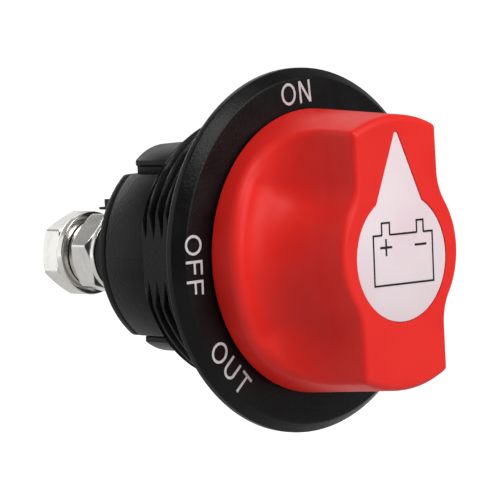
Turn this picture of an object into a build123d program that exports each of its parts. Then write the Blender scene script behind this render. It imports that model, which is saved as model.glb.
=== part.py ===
from build123d import *

import math
import os

# Battery isolating switch with a removable key knob.
# Millimetres, +Z up, front at -Y, terminals at +Y.
# Origin: centre of the bezel's back face, where the panel's front face lies.

# ---- bezel, barrel and rear body ----
BEZEL_R = 34.0
BEZEL_FACE_R = 32.2
BEZEL_T = 3.4
BEZEL_SIDE_T = 1.4
BARREL_R = 25.0
BARREL_LEN = 17.6
BARREL_LEAD = 0.7
THREAD_TURNS = 7
THREAD_PITCH = 2.2
THREAD_ROOT_R = 23.7
THREAD_LAND = 0.5
THREAD_ROOT_W = 0.2
BODY_HALF_W = 23.4
BODY_END_R = 19.4
BODY_HALF_H = 15.3
SEAM_Y = 28.0
COVER_T = 2.0
COVER_CHAMFER = 0.6
BLOCK_HALF_W = 14.4
UPPER_BLOCK_SHOULDER = 17.8
UPPER_BLOCK_TOP = 20.45
LOWER_BLOCK_SHOULDER = 16.6
LOWER_BLOCK_TOP = 19.1
BLOCK_TOP_HALF_W = 7.0

# ---- inside of the housing ----
BORE_R = 10.4
LUG_GAP_R = 13.4
FRONT_WALL_Y = 2.0
LUG_ROOM_R = 13.8
LEDGE_Y = 5.0
CAVITY_R = 15.0
GUIDE_Y = 10.2
GUIDE_HALF_W = 21.2
GUIDE_HALF_H = 7.2
PLUG_Y = 26.4
PLUG_GAP = 0.2
SEAL_R = 20.0
SEAL_WIRE_R = 0.8
SEAL_Y = -2.85
SEAL_GROOVE_W = 2.0
SEAL_GROOVE_DEPTH = 1.4

# ---- cover screws ----
SCREW_X = 12.6
SCREW_Z = 12.4
SCREW_R = 1.5
SCREW_HEAD_R = 2.6
SCREW_HEAD_T = 1.7
SCREW_DEPTH = 9.0
SCREW_TIP_GAP = 0.5
SCREW_HEAD_EDGE = 0.7
SCREW_CROSS_L = 2.8
SCREW_CROSS_W = 0.5
SCREW_CROSS_DEPTH = 0.9
FIT_GAP = 0.06

# ---- small hooked rib on the cover ----
RIB_X = -19.2
RIB_Z = 9.9
RIB_W = 0.8
RIB_H = 2.0
RIB_RISE = 1.6
RIB_LEDGE_T = 0.5
RIB_LEDGE_L = 3.2
RIB_ROOT = 0.5

# ---- terminals ----
STUD_X = 14.5
STUD_R = 4.0
STUD_SHANK_R = 3.8
STUD_HEAD_R = 6.2
STUD_HEAD_T = 2.0
STUD_END_Y = 50.6
STUD_CHAMFER = 0.7
STUD_TIP_L = 1.8
BOSS_R = 7.0
BOSS_END_Y = 33.2
COLLAR_R = 7.4
COLLAR_T = 1.5
NUT_AF = 14.0
JAM_NUT_T = 4.7
JAM_NUT_TURN = -4.0
SPRING_WASHER_R = 6.5
SPRING_WASHER_T = 1.9
FLAT_WASHER_R = 8.0
FLAT_WASHER_T = 1.6
TERMINAL_NUT_T = 5.0
TERMINAL_NUT_TURN = 30.0
HARDWARE_GAP = 0.25
NUT_FACE_MARGIN = 0.1
NUT_CHAMFER_DEG = 30.0
WASHER_EDGE = 0.15
SPLIT_W = 0.8
SPLIT_TILT = 35.0
CONTACT_R = 3.6
CONTACT_T = 0.6

# ---- turning key ----
ON_TO_OUT = 135.0
OFF_TO_OUT = 45.0
KEY_R = 10.1
KEY_TOP_Y = -13.8
KEY_SHOULDER_Y = 4.6
KEY_END_Y = 10.0
KEY_SQUARE = 11.0
LUG_R = 13.1
LUG_W = 5.0
LUG_Y = 2.3
LUG_T = 2.0
LUG_GAP_MARGIN = 16.5
KEY_SCREW_R = 2.0
KEY_SCREW_HEAD_R = 3.6
KEY_SCREW_HEAD_T = 2.6
KEY_SCREW_TIP_Y = -19.0
KEY_SCREW_GAP = 0.15
KEY_SCREW_HEAD_GAP = 0.2
KEY_SCREW_SINK = 0.4
KEY_SCREW_HEX = 1.5
KEY_SCREW_HEX_DEPTH = 1.8

# ---- knob ----
KNOB_BASE_R = 26.4
KNOB_FACE_R = 25.1
KNOB_BASE_Y = -3.8
KNOB_FACE_Y = -26.4
KNOB_EDGE_R = 0.9
RIM_OUT_R = 25.9
RIM_R = 24.4
RIM_IN_R = 21.5
RIM_Y = -9.8
RIM_OUT_DROP = 1.1
RIM_IN_DROP = 0.6
DISH_R = 17.0
DISH_Y = -7.9
DISH_IN_RISE = 0.7
TOOL_R = 27.8
TOOL_IN_R = 9.0
TOOL_DROP = 3.4
GRIP_BULGE_R = 15.2
GRIP_WAIST = 10.8
GRIP_BLEND_R = 10.0
GRIP_END = 10.9
GRIP_ROOT_R = 7.5
KNOB_CORE_HALF_W = 7.2
KNOB_CORE_R = 19.5
KNOB_CORE_Y = -20.0
KNOB_FIT_GAP = 0.05
KNOB_PILOT_DEPTH = 0.5
KNOB_HUB_R = 12.6

# ---- label on the knob ----
LABEL_R = 11.7
LABEL_Z = -0.85
LABEL_TIP_Z = 22.0
LABEL_TIP_R = 0.5
LABEL_TIP_RISE = 0.8
LABEL_SHOULDER = 6.0
LABEL_T = 0.8
LABEL_SINK = 0.1
LABEL_GAP = 0.06
PRINT_T = 0.06
LINE_W = 0.34
CASE_W = 15.9
CASE_H = 9.45
CASE_X = 0.5
CASE_Z = -1.05
POST_H = 2.2
POSTS = ((-5.2, -2.8), (4.0, 6.1))
SIGN_L = 3.1
SIGN_W = 0.4
SIGN_RISE = 2.3
PLUS_X = -4.0
MINUS_X = 5.1
SYMBOL_TURN = -1.2

# ---- dial lettering ----
LETTER_H = 4.1
LETTER_STROKE = 0.5
ON_R = 29.5
OFF_R = 30.25
OUT_R = 29.7
ON_ANGLE = 93.9
OFF_ANGLE = 179.6
OUT_ANGLE = 220.5
LETTER_GAP = 0.95
O_W = 3.7
N_W = 2.95
F_W = 2.65
N_SLANT_RUN = 1.15
F_ARM_SHARE = 0.94
F_ARM_RISE = 0.02

# ---- cam, carrier and contacts ----
CAM_R = 14.7
CAM_Y = 5.2
CAM_T = 4.0
SOCKET = 11.3
TRACK_IN_R = 9.8
TRACK_OUT_R = 13.2
STROKE = 2.0
TRACK_LOW = 0.3
TRACK_FLAT = 12.0
TRACK_STEP = 9.0
TRACK_ROOT = 0.5
FOOT_GAP = 0.3
FOOT_W = 2.4
CARRIER_Y = 13.8
CARRIER_T = 2.2
CARRIER_R = 13.4
WING_HALF_W = 17.8
WING_HALF_H = 6.9
POST_R = 5.2
POST_BORE_R = 3.7
POST_END_Y = 24.2
BRIDGE_Y = 20.2
BRIDGE_T = 2.0
BRIDGE_HALF_L = 19.5
BRIDGE_HALF_H = 5.9
BRIDGE_HOLE_R = 5.4
BRIDGE_CORNER_R = 2.0
BRIDGE_PAD_T = 1.4
CLIP_R = 7.0
CLIP_GROOVE_R = 4.6
CLIP_T = 0.7
CLIP_GAP_W = 5.0
CLIP_GAP_H = 6.0
CLIP_LIFT = 0.2
CLIP_PLAY = 0.05
CONTACT_SPRING_R = 6.5
CONTACT_SPRING_WIRE = 0.45
CONTACT_SPRING_TURNS = 2.5
RETURN_SPRING_R = 3.0
RETURN_SPRING_WIRE = 0.3
RETURN_SPRING_TURNS = 6.0
SPRING_PIN_R = 2.2
SPRING_PIN_Y = 23.6
SPRING_SEAT_Y = 17.2
SPRING_END_GAP = 0.05

COVER_Y = SEAM_Y + COVER_T
CAM_REAR_Y = CAM_Y + CAM_T


# ---- general helpers ----
def front_plane(y):
    """Plane square to the switch axis, seen from the front: x right, y up."""
    return Plane(origin=(0, y, 0), x_dir=(1, 0, 0), z_dir=(0, -1, 0))


def prism(sketch, y_front, y_rear):
    """Solid of a front-view sketch between two depths."""
    return extrude(front_plane(y_rear) * sketch, amount=y_rear - y_front)


def disc(radius, y_front, y_rear):
    return prism(Circle(radius), y_front, y_rear)


def tube(outer, inner, y_front, y_rear):
    return prism(Circle(outer) - Circle(inner), y_front, y_rear)


def turned(*radius_and_y):
    """Solid of revolution about the switch axis from (radius, y) corners."""
    outline = Polyline(*radius_and_y, close=True)
    return revolve(make_face(outline), Axis.Y)


def both_sides(solid, x):
    """The same piece at the left and right terminal."""
    return [Pos(-x, 0, 0) * solid, Pos(x, 0, 0) * solid]


def coil(radius, wire, y_front, y_rear, turns):
    """Compression spring of round wire that fills the given depth."""
    height = y_rear - y_front - 2 * wire
    path = Helix(pitch=height / turns, height=height, radius=radius)
    section = Plane(origin=path @ 0, z_dir=path % 0) * Circle(wire)
    spring = sweep(section, path=path, is_frenet=True)
    return Pos(0, y_front + wire, 0) * Rot(-90, 0, 0) * spring


# ---- housing ----
def body_outline():
    """Rear body: two side lobes round the terminals, cut flat above and below."""
    lobes = SlotCenterToCenter(2 * (BODY_HALF_W - BODY_END_R), 2 * BODY_END_R)
    return lobes & Rectangle(2 * BEZEL_R, 2 * BODY_HALF_H)


def block_side(shoulder_z, top_z):
    """Right half of a block's outline, from the middle plane to its flat top."""
    drop = top_z - shoulder_z
    run = BLOCK_HALF_W - BLOCK_TOP_HALF_W
    radius = (run**2 + drop**2) / (2 * drop)
    half = math.asin(run / radius) / 2
    shoulder = (BLOCK_HALF_W, shoulder_z)
    flat_end = (BLOCK_TOP_HALF_W, top_z)
    middle = (flat_end[0] + radius * math.sin(half), flat_end[1] - radius * (1 - math.cos(half)))
    side = Line((BLOCK_HALF_W, 0), shoulder)
    return side + ThreePointArc(shoulder, middle, flat_end) + Line(flat_end, (0, top_z))


def block_outline():
    """Raised blocks at 12 and 6 o'clock with rounded shoulders; the lower one is shallower."""
    lower = block_side(LOWER_BLOCK_SHOULDER, LOWER_BLOCK_TOP)
    right = block_side(UPPER_BLOCK_SHOULDER, UPPER_BLOCK_TOP) + mirror(lower, about=Plane.XZ)
    return make_face(Wire((right + mirror(right, about=Plane.YZ)).edges()))


def barrel():
    """Threaded barrel with flats at 3 and 9 o'clock."""
    flank = (THREAD_PITCH - THREAD_LAND - THREAD_ROOT_W) / 2
    first = BARREL_LEN - THREAD_LAND - THREAD_TURNS * THREAD_PITCH
    corners = [(0, 0), (BARREL_R, 0)]
    for turn in range(THREAD_TURNS):
        y = first + turn * THREAD_PITCH
        corners.append((BARREL_R, y))
        corners.append((THREAD_ROOT_R, y + flank))
        corners.append((THREAD_ROOT_R, y + flank + THREAD_ROOT_W))
        corners.append((BARREL_R, y + 2 * flank + THREAD_ROOT_W))
    corners[-1] = (BARREL_R - BARREL_LEAD, corners[-1][1])
    corners.append((BARREL_R - BARREL_LEAD, BARREL_LEN))
    corners.append((0, BARREL_LEN))
    flats = prism(Rectangle(2 * BODY_HALF_W, 2 * BEZEL_R), 0, BARREL_LEN)
    return turned(*corners) & flats


def on_circle(radius, degrees):
    return (radius * math.cos(math.radians(degrees)), radius * math.sin(math.radians(degrees)))


def lug_gap():
    """Openings in the front wall that let the key's lugs through, from OUT to ON."""
    first = 90 - OFF_TO_OUT - LUG_GAP_MARGIN
    last = 90 + LUG_GAP_MARGIN
    start = on_circle(LUG_GAP_R, first)
    end = on_circle(LUG_GAP_R, last)
    rim = ThreePointArc(start, on_circle(LUG_GAP_R, (first + last) / 2), end)
    sector = make_face(Line((0, 0), start) + rim + Line(end, (0, 0)))
    return sector + Rot(0, 0, 180) * sector


def screw_places(y):
    return [Pos(x, y, z) for x in (-SCREW_X, SCREW_X) for z in (-SCREW_Z, SCREW_Z)]


def guide_outline(gap=0.0):
    """Round cavity with the slot that guides the contact carrier."""
    slot = Rectangle(2 * (GUIDE_HALF_W - gap), 2 * (GUIDE_HALF_H - gap))
    return Circle(CAVITY_R - gap) + slot


def front_housing():
    bezel = turned(
        (0, -BEZEL_T), (BEZEL_FACE_R, -BEZEL_T), (BEZEL_R, -BEZEL_SIDE_T), (BEZEL_R, 0), (0, 0)
    )
    solid = bezel + barrel() + prism(body_outline() + block_outline(), BARREL_LEN, SEAM_Y)
    solid -= prism(Circle(BORE_R) + lug_gap(), -BEZEL_T, FRONT_WALL_Y)
    solid -= disc(LUG_ROOM_R, FRONT_WALL_Y, LEDGE_Y)
    solid -= disc(CAVITY_R, LEDGE_Y, SEAM_Y)
    solid -= prism(guide_outline(), GUIDE_Y, SEAM_Y)
    half = SEAL_GROOVE_W / 2
    solid -= tube(SEAL_R + half, SEAL_R - half, -BEZEL_T, -BEZEL_T + SEAL_GROOVE_DEPTH)
    for place in screw_places(SEAM_Y - SCREW_DEPTH):
        solid -= place * disc(SCREW_R + FIT_GAP, 0, SCREW_DEPTH)
    return solid


def dust_seal():
    ring = Torus(SEAL_R, SEAL_WIRE_R)
    return Pos(0, SEAL_Y, 0) * Rot(90, 0, 0) * ring


# ---- lettering ----
def letter_o(width):
    outer = Ellipse(width / 2, LETTER_H / 2)
    return outer - Ellipse(width / 2 - LETTER_STROKE, LETTER_H / 2 - LETTER_STROKE)


def bar(x, z, width, height):
    return Pos(x, z) * Rectangle(width, height)


def letter_n(width):
    edge = (width - LETTER_STROKE) / 2
    top = LETTER_H / 2
    side = width / 2
    run = LETTER_STROKE * N_SLANT_RUN
    slant = make_face(
        Polyline((-side, top), (-side + run, top), (side, -top), (side - run, -top), close=True)
    )
    return bar(-edge, 0, LETTER_STROKE, LETTER_H) + bar(edge, 0, LETTER_STROKE, LETTER_H) + slant


def letter_f(width):
    stem_x = -(width - LETTER_STROKE) / 2
    top_z = (LETTER_H - LETTER_STROKE) / 2
    arm_w = width * F_ARM_SHARE
    arm = bar((arm_w - width) / 2, F_ARM_RISE * LETTER_H, arm_w, LETTER_STROKE)
    return bar(stem_x, 0, LETTER_STROKE, LETTER_H) + bar(0, top_z, width, LETTER_STROKE) + arm


def letter_t(width):
    top_z = (LETTER_H - LETTER_STROKE) / 2
    return bar(0, 0, LETTER_STROKE, LETTER_H) + bar(0, top_z, width, LETTER_STROKE)


def letter_u(width):
    radius = width / 2
    top_z = LETTER_H / 2
    bowl_z = -top_z + radius
    inner_w = width - 2 * LETTER_STROKE
    walls = Rectangle(width, top_z - bowl_z) - Rectangle(inner_w, top_z - bowl_z)
    bowl = Pos(0, bowl_z) * (Circle(radius) - Circle(radius - LETTER_STROKE))
    return Pos(0, (bowl_z + top_z) / 2) * walls + (bowl & bar(0, bowl_z - radius / 2, width, radius))


def word(letters, radius, angle, tops_outward):
    """Row of (letter maker, width) printed at a clock position on the bezel."""
    turn = angle - 90 if tops_outward else angle + 90
    row_z = radius if tops_outward else -radius
    length = sum(width for maker, width in letters) + LETTER_GAP * (len(letters) - 1)
    x = -length / 2
    row = []
    for maker, width in letters:
        letter = Rot(0, 0, turn) * Pos(x + width / 2, row_z) * maker(width)
        row.append(prism(letter, -BEZEL_T - PRINT_T, -BEZEL_T))
        x += width + LETTER_GAP
    return row


def dial_print():
    on = word([(letter_o, O_W), (letter_n, N_W)], ON_R, ON_ANGLE, True)
    off = word([(letter_o, O_W), (letter_f, F_W), (letter_f, F_W)], OFF_R, OFF_ANGLE, False)
    out = word([(letter_o, O_W), (letter_u, N_W), (letter_t, N_W)], OUT_R, OUT_ANGLE, False)
    return on + off + out


# ---- rear cover and terminals ----
def rib():
    """Small hooked rib that stands on the cover's back beside the left terminal."""
    low = COVER_Y - RIB_ROOT
    upright = Box(RIB_W, RIB_ROOT + RIB_RISE, RIB_H)
    ledge = Box(RIB_W, RIB_ROOT + RIB_LEDGE_L, RIB_LEDGE_T)
    ledge_z = RIB_Z - (RIB_H - RIB_LEDGE_T) / 2
    solid = Pos(RIB_X, low + (RIB_ROOT + RIB_RISE) / 2, RIB_Z) * upright
    return solid + Pos(RIB_X, low + (RIB_ROOT + RIB_LEDGE_L) / 2, ledge_z) * ledge


def rear_cover():
    plate = prism(body_outline(), SEAM_Y, COVER_Y)
    plate = chamfer(plate.faces().sort_by(Axis.Y)[-1].edges(), COVER_CHAMFER)
    solid = plate + prism(guide_outline(PLUG_GAP), PLUG_Y, SEAM_Y) + rib()
    solid += disc(SPRING_PIN_R, SPRING_PIN_Y, PLUG_Y)
    for boss in both_sides(disc(BOSS_R, COVER_Y, BOSS_END_Y), STUD_X):
        solid += boss
    for hole in both_sides(disc(STUD_SHANK_R + FIT_GAP, PLUG_Y, BOSS_END_Y), STUD_X):
        solid -= hole
    for place in screw_places(SEAM_Y):
        solid -= place * disc(SCREW_R + FIT_GAP, 0, COVER_T)
    return solid


def cover_screw():
    """Pan-head screw with a cross recess, in a hole whose floor lies at y = 0."""
    seat = SCREW_DEPTH + COVER_T
    top = seat + SCREW_HEAD_T
    head = disc(SCREW_HEAD_R, seat, top)
    head = fillet(head.faces().sort_by(Axis.Y)[-1].edges(), SCREW_HEAD_EDGE)
    cross = Rectangle(SCREW_CROSS_L, SCREW_CROSS_W) + Rectangle(SCREW_CROSS_W, SCREW_CROSS_L)
    return disc(SCREW_R, SCREW_TIP_GAP, seat) + head - prism(cross, top - SCREW_CROSS_DEPTH, top)


def cover_screws():
    return [place * cover_screw() for place in screw_places(SEAM_Y - SCREW_DEPTH)]


def stud():
    """Headed stud: effective thread size under the nuts, nominal size at the free tip."""
    tip_y = STUD_END_Y - STUD_CHAMFER - STUD_TIP_L
    tip = disc(STUD_R, tip_y, STUD_END_Y)
    tip = chamfer(tip.faces().sort_by(Axis.Y)[-1].edges(), STUD_CHAMFER)
    head = disc(STUD_HEAD_R, PLUG_Y - STUD_HEAD_T, PLUG_Y)
    return head + disc(STUD_SHANK_R, PLUG_Y, tip_y) + tip


def stacked(thicknesses):
    """Front depth of each loose piece on a stud, from the boss rearwards."""
    depths = [BOSS_END_Y]
    for thickness in thicknesses:
        depths.append(depths[-1] + thickness)
    return depths


COLLAR_Y, JAM_NUT_Y, SPRING_WASHER_Y, FLAT_WASHER_Y, TERMINAL_NUT_Y, NUT_END_Y = stacked(
    (COLLAR_T, JAM_NUT_T, SPRING_WASHER_T, FLAT_WASHER_T, TERMINAL_NUT_T)
)


def hex_nut(y_front, thickness, turn):
    """Hexagon nut with both faces chamfered."""
    y_rear = y_front + thickness
    hexagon = RegularPolygon(NUT_AF / 2, 6, major_radius=False, rotation=turn)
    blank = prism(hexagon - Circle(STUD_SHANK_R + FIT_GAP), y_front, y_rear)
    corner_r = NUT_AF / math.sqrt(3) + NUT_FACE_MARGIN
    face_r = NUT_AF / 2 - NUT_FACE_MARGIN
    drop = (corner_r - face_r) * math.tan(math.radians(NUT_CHAMFER_DEG))
    front = [(0, y_front), (face_r, y_front), (corner_r, y_front + drop)]
    rear = [(corner_r, y_rear - drop), (face_r, y_rear), (0, y_rear)]
    return blank & turned(*front, *rear)


def washer(outer, y_front, thickness):
    ring = tube(outer, STUD_R + HARDWARE_GAP, y_front, y_front + thickness)
    return chamfer(ring.edges().group_by(Edge.length.fget)[-1], WASHER_EDGE)


def spring_washer():
    bore = STUD_R + HARDWARE_GAP
    ring = tube(SPRING_WASHER_R, bore, SPRING_WASHER_Y, SPRING_WASHER_Y + SPRING_WASHER_T)
    middle = SPRING_WASHER_Y + SPRING_WASHER_T / 2
    cutter = Box(SPLIT_W, 3 * SPRING_WASHER_T, 2 * (SPRING_WASHER_R - bore))
    return ring - Pos(0, middle, (SPRING_WASHER_R + bore) / 2) * Rot(0, 0, SPLIT_TILT) * cutter


# ---- key: knob, shaft and label ----
def key_shaft():
    solid = disc(KEY_R, KEY_TOP_Y, KEY_SHOULDER_Y)
    solid += prism(Rectangle(KEY_SQUARE, KEY_SQUARE), KEY_SHOULDER_Y, KEY_END_Y)
    lugs = Rectangle(LUG_W, 2 * LUG_R) & Circle(LUG_R)
    solid += prism(lugs, LUG_Y, LUG_Y + LUG_T)
    solid -= disc(KEY_SCREW_R + KEY_SCREW_GAP, KEY_TOP_Y, KEY_END_Y)
    seat_y = KEY_END_Y - KEY_SCREW_SINK - KEY_SCREW_HEAD_T
    return solid - disc(KEY_SCREW_HEAD_R + KEY_SCREW_HEAD_GAP, seat_y, KEY_END_Y)


def key_screw():
    """Socket-head screw that holds the knob on the shaft."""
    head_y = KEY_END_Y - KEY_SCREW_SINK - KEY_SCREW_HEAD_T
    top_y = head_y + KEY_SCREW_HEAD_T
    hexagon = RegularPolygon(KEY_SCREW_HEX, 6, major_radius=False)
    solid = disc(KEY_SCREW_HEAD_R, head_y, top_y) + disc(KEY_SCREW_R, KEY_SCREW_TIP_Y, head_y)
    return solid - prism(hexagon, top_y - KEY_SCREW_HEX_DEPTH, top_y)


def grip_outline():
    """Face of the grip bar: round boss in the middle, waists, then nearly straight ends."""
    centre_x = GRIP_WAIST + GRIP_BLEND_R
    centre_z = math.sqrt((GRIP_BULGE_R + GRIP_BLEND_R) ** 2 - centre_x**2)
    share = GRIP_BULGE_R / (GRIP_BULGE_R + GRIP_BLEND_R)
    touch = (centre_x * share, centre_z * share)
    waist = (GRIP_WAIST, centre_z)
    end = (GRIP_END, KNOB_BASE_R + 1)
    half = math.atan2(centre_z - touch[1], centre_x - touch[0]) / 2
    middle = (centre_x - GRIP_BLEND_R * math.cos(half), centre_z - GRIP_BLEND_R * math.sin(half))
    bulge = ThreePointArc((touch[0], -touch[1]), (GRIP_BULGE_R, 0), touch)
    upper = ThreePointArc(touch, middle, waist) + Line(waist, end)
    lower = mirror(upper, about=Plane.XZ)
    right = bulge + upper + lower
    left = mirror(right, about=Plane.YZ)
    caps = Line(end, (-end[0], end[1])) + Line((end[0], -end[1]), (-end[0], -end[1]))
    return make_face(Wire((right + left + caps).edges()))


def scoops():
    """The two hollows beside the grip: a ring with a rolled floor, less the grip."""
    inner = (TOOL_IN_R, DISH_Y - DISH_IN_RISE)
    outer = (TOOL_R, RIM_Y + TOOL_DROP)
    rim = [(RIM_OUT_R, RIM_Y + RIM_OUT_DROP), (RIM_R, RIM_Y), (RIM_IN_R, RIM_Y + RIM_IN_DROP)]
    floor = Spline(outer, *rim, (DISH_R, DISH_Y), inner)
    top_y = KNOB_FACE_Y - 2
    walls = Polyline(inner, (TOOL_IN_R, top_y), (TOOL_R, top_y), outer)
    ring = revolve(make_face(floor + walls), Axis.Y)
    return ring - prism(grip_outline(), top_y - 1, KNOB_BASE_Y)


def knob_outside():
    """Drafted round knob with both hollows cut and its edges rounded."""
    solid = turned(
        (0, KNOB_BASE_Y), (KNOB_BASE_R, KNOB_BASE_Y), (KNOB_FACE_R, KNOB_FACE_Y), (0, KNOB_FACE_Y)
    )
    solid -= scoops()
    deep = [edge for edge in solid.edges() if KNOB_FACE_Y / 2 < edge.center().Y < KNOB_BASE_Y - 1]
    roots = [edge for edge in deep if abs(edge.center().X) < DISH_R]
    solid = fillet(roots, GRIP_ROOT_R)
    return fillet(solid.faces().sort_by(Axis.Y)[0].edges(), KNOB_EDGE_R)


def label_outline(grow=0.0):
    """Disc with a pointer towards the top."""
    join_z = LABEL_Z + math.sqrt(LABEL_R**2 - LABEL_SHOULDER**2)
    apex = (0, LABEL_TIP_Z + LABEL_TIP_RISE)
    left = (-LABEL_SHOULDER, join_z)
    right = (LABEL_SHOULDER, join_z)
    pointer = make_face(Polyline(apex, left, (0, LABEL_Z), right, close=True))
    pointer = fillet(pointer.vertices().sort_by(Axis.Y)[-1], LABEL_TIP_R)
    outline = pointer + Pos(0, LABEL_Z) * Circle(LABEL_R)
    return offset(outline, grow) if grow else outline


def knob():
    solid = knob_outside()
    core = Rectangle(2 * KNOB_CORE_HALF_W, 2 * KNOB_CORE_R) & Circle(KNOB_CORE_R)
    solid -= prism(core - Circle(KNOB_HUB_R), KNOB_CORE_Y, KNOB_BASE_Y)
    solid -= disc(KEY_R + KNOB_FIT_GAP, KEY_TOP_Y - KNOB_FIT_GAP, KNOB_BASE_Y)
    solid -= disc(KEY_SCREW_R + KNOB_FIT_GAP, KEY_SCREW_TIP_Y - KNOB_PILOT_DEPTH, KEY_TOP_Y)
    recess_end = KNOB_FACE_Y + LABEL_SINK + LABEL_T
    return solid - prism(label_outline(LABEL_GAP), KNOB_FACE_Y, recess_end)


def knob_label():
    y_front = KNOB_FACE_Y + LABEL_SINK
    return prism(label_outline(), y_front, y_front + LABEL_T)


def label_symbol():
    """Thin printed outline of a battery with its plus and minus marks."""
    case = Rectangle(CASE_W, CASE_H)
    for x_left, x_right in POSTS:
        post = Rectangle(x_right - x_left, POST_H)
        case += Pos((x_left + x_right) / 2 - CASE_X, (CASE_H + POST_H) / 2) * post
    outline = Pos(CASE_X, CASE_Z) * (case - offset(case, -LINE_W))
    sign_z = CASE_Z + SIGN_RISE
    plus = bar(PLUS_X, sign_z, SIGN_L, SIGN_W) + bar(PLUS_X, sign_z, SIGN_W, SIGN_L)
    minus = bar(MINUS_X, sign_z, SIGN_L, SIGN_W)
    y_rear = KNOB_FACE_Y + LABEL_SINK
    turn = Rot(0, 0, SYMBOL_TURN)
    return [prism(turn * mark, y_rear - PRINT_T, y_rear) for mark in (outline, plus, minus)]


# ---- cam, carrier and contacts ----
def track_section(angle, height):
    """Radial cut of a cam track, standing on the cam's rear face."""
    turn = math.radians(angle)
    radial = Plane(
        origin=(0, 0, 0),
        x_dir=(math.cos(turn), 0, math.sin(turn)),
        z_dir=(-math.sin(turn), 0, math.cos(turn)),
    )
    middle = (TRACK_IN_R + TRACK_OUT_R) / 2
    section = Rectangle(TRACK_OUT_R - TRACK_IN_R, TRACK_ROOT + height)
    return radial * Pos(middle, CAM_REAR_Y + (height - TRACK_ROOT) / 2) * section


def cam_track():
    """Ramp that lets the carrier come forward as the key turns from ON to OUT."""
    sections = [track_section(TRACK_FLAT, TRACK_LOW + STROKE)]
    steps = round(ON_TO_OUT / TRACK_STEP)
    for step in range(steps + 1):
        height = TRACK_LOW + STROKE * (1 - step / steps)
        sections.append(track_section(-step * TRACK_STEP, height))
    sections.append(track_section(-ON_TO_OUT - TRACK_FLAT, TRACK_LOW))
    return loft(sections, ruled=True)


def rotor_cam():
    solid = disc(CAM_R, CAM_Y, CAM_REAR_Y)
    track = cam_track()
    solid += track
    solid += Rot(0, 180, 0) * track
    return solid - prism(Rectangle(SOCKET, SOCKET), CAM_Y, CAM_REAR_Y)


def contact_carrier():
    """Sliding plate with two feet on the cam and a post that carries the bridge."""
    plate = Circle(CARRIER_R) + Rectangle(2 * WING_HALF_W, 2 * WING_HALF_H)
    plate_end = CARRIER_Y + CARRIER_T
    solid = prism(plate, CARRIER_Y, plate_end) + disc(POST_R, plate_end, POST_END_Y)
    foot_y = CAM_REAR_Y + TRACK_LOW + STROKE + FOOT_GAP
    foot = Box(TRACK_OUT_R - TRACK_IN_R, CARRIER_Y - foot_y, FOOT_W)
    for piece in both_sides(Pos(0, (foot_y + CARRIER_Y) / 2, 0) * foot, (TRACK_IN_R + TRACK_OUT_R) / 2):
        solid += piece
    solid -= disc(POST_BORE_R, SPRING_SEAT_Y, POST_END_Y)
    groove_y = BRIDGE_Y + BRIDGE_T + CLIP_LIFT - CLIP_PLAY
    return solid - tube(POST_R + 1, CLIP_GROOVE_R, groove_y, groove_y + CLIP_T + 2 * CLIP_PLAY)


def contact_bridge():
    outline = RectangleRounded(2 * BRIDGE_HALF_L, 2 * BRIDGE_HALF_H, BRIDGE_CORNER_R)
    return prism(outline - Circle(BRIDGE_HOLE_R), BRIDGE_Y, BRIDGE_Y + BRIDGE_T)


def bridge_contacts():
    y_front = BRIDGE_Y + BRIDGE_T
    return both_sides(disc(CONTACT_R, y_front, y_front + BRIDGE_PAD_T), STUD_X)


def stud_contacts():
    y_rear = PLUG_Y - STUD_HEAD_T
    return both_sides(disc(CONTACT_R, y_rear - CONTACT_T, y_rear), STUD_X)


def bridge_retainer():
    """Open ring that snaps into the carrier post and keeps the bridge on."""
    y_front = BRIDGE_Y + BRIDGE_T + CLIP_LIFT
    ring = tube(CLIP_R, CLIP_GROOVE_R + 2 * CLIP_PLAY, y_front, y_front + CLIP_T)
    return ring - Pos(0, y_front, -CLIP_R) * Box(CLIP_GAP_W, 4 * CLIP_T, CLIP_GAP_H)


def contact_spring():
    front = CARRIER_Y + CARRIER_T + SPRING_END_GAP
    rear = BRIDGE_Y - SPRING_END_GAP
    return coil(CONTACT_SPRING_R, CONTACT_SPRING_WIRE, front, rear, CONTACT_SPRING_TURNS)


def return_spring():
    front = SPRING_SEAT_Y + SPRING_END_GAP
    rear = PLUG_Y - SPRING_END_GAP
    return coil(RETURN_SPRING_R, RETURN_SPRING_WIRE, front, rear, RETURN_SPRING_TURNS)


# ---- all pieces ----
def pieces():
    return {
        "front_housing": front_housing(),
        "dial_print": dial_print(),
        "dust_seal": dust_seal(),
        "rear_cover": rear_cover(),
        "cover_screws": cover_screws(),
        "stud_left": Pos(-STUD_X, 0, 0) * stud(),
        "stud_right": Pos(STUD_X, 0, 0) * stud(),
        "stud_contacts": stud_contacts(),
        "stud_collars": both_sides(washer(COLLAR_R, COLLAR_Y, COLLAR_T), STUD_X),
        "jam_nuts": both_sides(hex_nut(JAM_NUT_Y, JAM_NUT_T, JAM_NUT_TURN), STUD_X),
        "spring_washers": both_sides(spring_washer(), STUD_X),
        "flat_washers": both_sides(washer(FLAT_WASHER_R, FLAT_WASHER_Y, FLAT_WASHER_T), STUD_X),
        "terminal_nuts": both_sides(hex_nut(TERMINAL_NUT_Y, TERMINAL_NUT_T, TERMINAL_NUT_TURN), STUD_X),
        "return_spring": return_spring(),
        "rotor_cam": rotor_cam(),
        "key_shaft": key_shaft(),
        "key_screw": key_screw(),
        "knob": knob(),
        "knob_label": knob_label(),
        "label_symbol": label_symbol(),
        "contact_carrier": contact_carrier(),
        "contact_bridge": contact_bridge(),
        "bridge_contacts": bridge_contacts(),
        "contact_spring": contact_spring(),
        "bridge_retainer": bridge_retainer(),
    }


os.makedirs("parts", exist_ok=True)
for name, shape in pieces().items():
    group = Compound(children=shape) if isinstance(shape, list) else shape
    export_step(group, f"parts/{name}.step")
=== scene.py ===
import math

import bmesh
import bpy
import numpy as np
from mathutils import Matrix, Vector

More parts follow.
